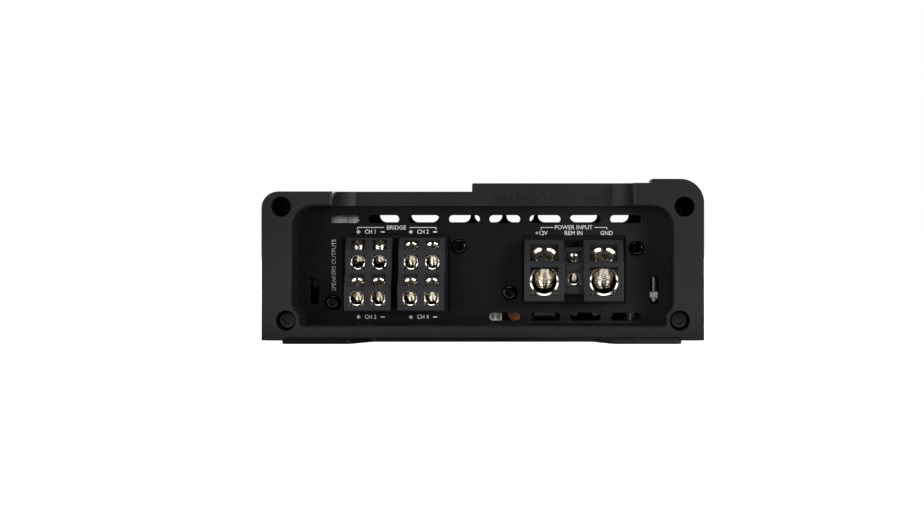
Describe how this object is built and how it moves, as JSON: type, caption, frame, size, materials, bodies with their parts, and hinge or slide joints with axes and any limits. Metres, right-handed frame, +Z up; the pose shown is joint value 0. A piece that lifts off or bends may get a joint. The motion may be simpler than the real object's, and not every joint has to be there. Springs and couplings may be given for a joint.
{
  "type": "car amplifier",
  "caption": "Car audio amplifier: finned shell with cast end frames, recessed screw terminals for speakers and power, rear line inputs and controls, and a floor plate with screw ears.",
  "frame": {"origin": "middle of the floor plate's underside", "axes": "+Z up; +Y from the terminal end to the control end; +X to the right as seen from the terminal end"},
  "size_m": [0.1656, 0.291, 0.061],
  "materials": {
    "satin_black": "satin black powder coat over aluminium",
    "sheet_black": "matt black powder coat",
    "anodised_black": "black anodised",
    "black_oxide": "black oxide",
    "housing_grey": "fine textured dark grey moulding",
    "nickel": "nickel plated",
    "screw_nickel": "nickel plated",
    "board_green": "solder mask",
    "steel": "zinc plated",
    "ferrite": "painted ferrite",
    "copper": "enamelled copper",
    "moulding_black": "moulded",
    "can_sleeve": "shrink sleeve over aluminium",
    "film_brown": "dipped",
    "pad_grey": "silicone",
    "header_white": "moulded",
    "pot_case": "moulded",
    "jack_plating": "gold plated",
    "jack_insert": "moulded",
    "lamp_lens": "tinted clear",
    "knob_black": "moulded",
    "slider_grey": "moulded"
  },
  "bodies": {
    "amplifier": {"base_plate": "sheet_black", "base_screws": "black_oxide", "board_headers": "header_white", "board_screws": "steel", "cap_screws": "black_oxide", "clamp_bar_screws": "steel", "clamp_bars": "steel", "control_board": "board_green", "control_end_cap": "satin_black", "control_panel": "sheet_black", "core_mounts": "moulding_black", "deck_plate": "anodised_black", "film_capacitors": "film_brown", "ground_post": "steel", "heatsink": "satin_black", "inductor_cores": "ferrite", "inductor_windings": "copper", "input_capacitors": "can_sleeve", "jack_cores": "jack_insert", "jack_housing": "moulding_black", "jack_shells": "jack_plating", "lamps": "lamp_lens", "main_board": "board_green", "panel_screws": "black_oxide", "potentiometers": "pot_case", "power_block": "housing_grey", "power_clamps": "nickel", "rail_capacitors": "can_sleeve", "remote_clamp": "nickel", "slide_switches": "moulding_black", "speaker_block_left": "housing_grey", "speaker_block_right": "housing_grey", "speaker_clamps": "nickel", "standoffs": "steel", "terminal_end_cap": "satin_black", "terminal_panel": "sheet_black", "thermal_pads": "pad_grey", "transformer_cores": "ferrite", "transformer_windings": "copper", "transistors": "moulding_black"},
    "bass_knob_body": {"bass_knob": "knob_black"},
    "filter_slider_front_body": {"filter_slider_front": "slider_grey"},
    "filter_slider_rear_body": {"filter_slider_rear": "slider_grey"},
    "gain_knob_front_body": {"gain_knob_front": "knob_black"},
    "gain_knob_rear_body": {"gain_knob_rear": "knob_black"},
    "highpass_knob_body": {"highpass_knob": "knob_black"},
    "input_slider_body": {"input_slider": "slider_grey"},
    "lowpass_knob_body": {"lowpass_knob": "knob_black"},
    "screw_battery_body": {"screw_battery": "screw_nickel"},
    "screw_ch1_minus_body": {"screw_ch1_minus": "screw_nickel"},
    "screw_ch1_plus_body": {"screw_ch1_plus": "screw_nickel"},
    "screw_ch2_minus_body": {"screw_ch2_minus": "screw_nickel"},
    "screw_ch2_plus_body": {"screw_ch2_plus": "screw_nickel"},
    "screw_ch3_minus_body": {"screw_ch3_minus": "screw_nickel"},
    "screw_ch3_plus_body": {"screw_ch3_plus": "screw_nickel"},
    "screw_ch4_minus_body": {"screw_ch4_minus": "screw_nickel"},
    "screw_ch4_plus_body": {"screw_ch4_plus": "screw_nickel"},
    "screw_ground_body": {"screw_ground": "screw_nickel"},
    "screw_remote_body": {"screw_remote": "screw_nickel"}
  },
  "joints": [
    {"name": "bass_knob_turn", "type": "hinge", "parent": "amplifier", "child": "bass_knob_body", "pos_m": [-0.021, 0.113, 0.0155], "axis": [0, 1, 0], "range_deg": [-140, 140]},
    {"name": "filter_slider_front_travel", "type": "slide", "parent": "amplifier", "child": "filter_slider_front_body", "axis": [1, 0, 0], "range_m": [-0.0025, 0.0025]},
    {"name": "filter_slider_rear_travel", "type": "slide", "parent": "amplifier", "child": "filter_slider_rear_body", "axis": [1, 0, 0], "range_m": [-0.0025, 0.0025]},
    {"name": "gain_knob_front_turn", "type": "hinge", "parent": "amplifier", "child": "gain_knob_front_body", "pos_m": [-0.056, 0.113, 0.0325], "axis": [0, 1, 0], "range_deg": [-140, 140]},
    {"name": "gain_knob_rear_turn", "type": "hinge", "parent": "amplifier", "child": "gain_knob_rear_body", "pos_m": [-0.056, 0.113, 0.0155], "axis": [0, 1, 0], "range_deg": [-140, 140]},
    {"name": "highpass_knob_turn", "type": "hinge", "parent": "amplifier", "child": "highpass_knob_body", "pos_m": [-0.0385, 0.113, 0.0325], "axis": [0, 1, 0], "range_deg": [-140, 140]},
    {"name": "input_slider_travel", "type": "slide", "parent": "amplifier", "child": "input_slider_body", "axis": [1, 0, 0], "range_m": [-0.0025, 0.0025]},
    {"name": "lowpass_knob_turn", "type": "hinge", "parent": "amplifier", "child": "lowpass_knob_body", "pos_m": [-0.0385, 0.113, 0.0155], "axis": [0, 1, 0], "range_deg": [-140, 140]},
    {"name": "screw_battery_travel", "type": "slide", "parent": "amplifier", "child": "screw_battery_body", "axis": [0, -0.7071, 0.7071], "range_m": [0, 0.009]},
    {"name": "screw_ch1_minus_travel", "type": "slide", "parent": "amplifier", "child": "screw_ch1_minus_body", "axis": [0, -0.7071, 0.7071], "range_m": [-0.0024, 0.0026]},
    {"name": "screw_ch1_plus_travel", "type": "slide", "parent": "amplifier", "child": "screw_ch1_plus_body", "axis": [0, -0.7071, 0.7071], "range_m": [-0.0024, 0.0026]},
    {"name": "screw_ch2_minus_travel", "type": "slide", "parent": "amplifier", "child": "screw_ch2_minus_body", "axis": [0, -0.7071, 0.7071], "range_m": [0, 0.005]},
    {"name": "screw_ch2_plus_travel", "type": "slide", "parent": "amplifier", "child": "screw_ch2_plus_body", "axis": [0, -0.7071, 0.7071], "range_m": [0, 0.005]},
    {"name": "screw_ch3_minus_travel", "type": "slide", "parent": "amplifier", "child": "screw_ch3_minus_body", "axis": [0, -0.7071, 0.7071], "range_m": [0, 0.005]},
    {"name": "screw_ch3_plus_travel", "type": "slide", "parent": "amplifier", "child": "screw_ch3_plus_body", "axis": [0, -0.7071, 0.7071], "range_m": [0, 0.005]},
    {"name": "screw_ch4_minus_travel", "type": "slide", "parent": "amplifier", "child": "screw_ch4_minus_body", "axis": [0, -0.7071, 0.7071], "range_m": [0, 0.005]},
    {"name": "screw_ch4_plus_travel", "type": "slide", "parent": "amplifier", "child": "screw_ch4_plus_body", "axis": [0, -0.7071, 0.7071], "range_m": [0, 0.005]},
    {"name": "screw_ground_travel", "type": "slide", "parent": "amplifier", "child": "screw_ground_body", "axis": [0, -0.7071, 0.7071], "range_m": [0, 0.009]},
    {"name": "screw_remote_travel", "type": "slide", "parent": "amplifier", "child": "screw_remote_body", "axis": [0, -0.7071, 0.7071], "range_m": [0, 0.0035]}
  ]
}
